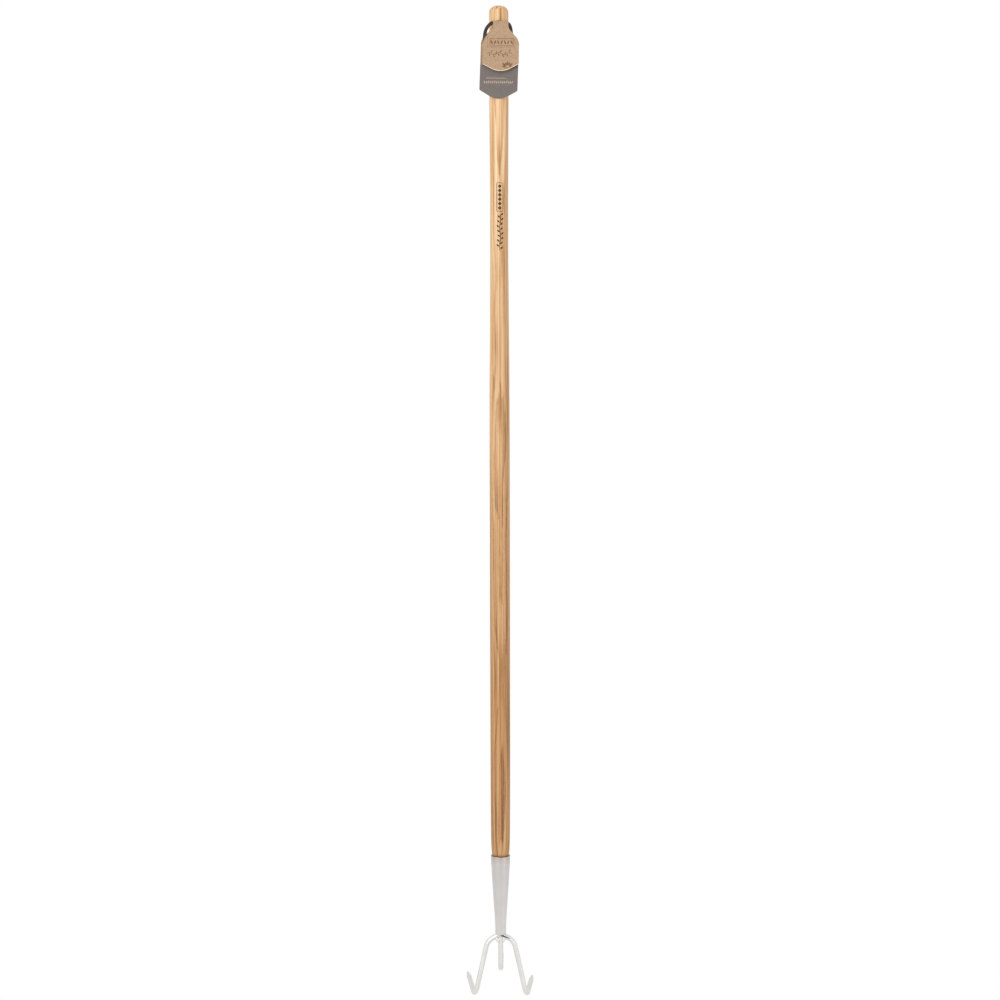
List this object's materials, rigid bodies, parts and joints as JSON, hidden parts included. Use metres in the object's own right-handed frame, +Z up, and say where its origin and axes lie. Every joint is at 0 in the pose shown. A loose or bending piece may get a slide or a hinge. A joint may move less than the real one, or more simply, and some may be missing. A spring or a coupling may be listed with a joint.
{
  "type": "long-handled garden cultivator",
  "caption": "Hand cultivator with hooked steel tines on a tapered socket, a long ash handle, and a leather hanging thong with a folded card tag.",
  "frame": {"origin": "centre of the cross hole for the hanging thong, on the handle's axis", "axes": "+Z up along the handle, -Y to the front where the thong and tag hang, claws towards +Y, +X to the viewer's right when facing the front"},
  "size_m": [0.1105, 0.085, 1.6036],
  "materials": {
    "ash_wood": "lacquered satin, long straight grain",
    "satin_steel": "polished to a satin shine",
    "screw_steel": "turned, plain",
    "weld_steel": "ground and brushed weld metal",
    "leather": "dyed dark, waxed",
    "tag_card": "uncoated kraft board with a grey printed panel"
  },
  "bodies": {
    "tool": {"ash_handle": "ash_wood", "socket": "satin_steel", "socket_screw": "screw_steel", "outer_tines": "satin_steel", "centre_tine": "satin_steel", "tine_weld": "weld_steel", "thong_core": "leather", "thong_knot": "leather"},
    "hang_loop": {"thong_loop": "leather", "tag_back_leaf": "tag_card"},
    "tag_cover": {"tag_front_leaf": "tag_card"}
  },
  "joints": [
    {"name": "loop_swing", "type": "hinge", "parent": "tool", "child": "hang_loop", "pos_m": [0, -0.0193, 0], "axis": [-1, 0, 0], "range_deg": [0, 70]},
    {"name": "cover_lift", "type": "hinge", "parent": "hang_loop", "child": "tag_cover", "pos_m": [0, -0.02235, 0], "axis": [-1, 0, 0], "range_deg": [0, 90]}
  ]
}
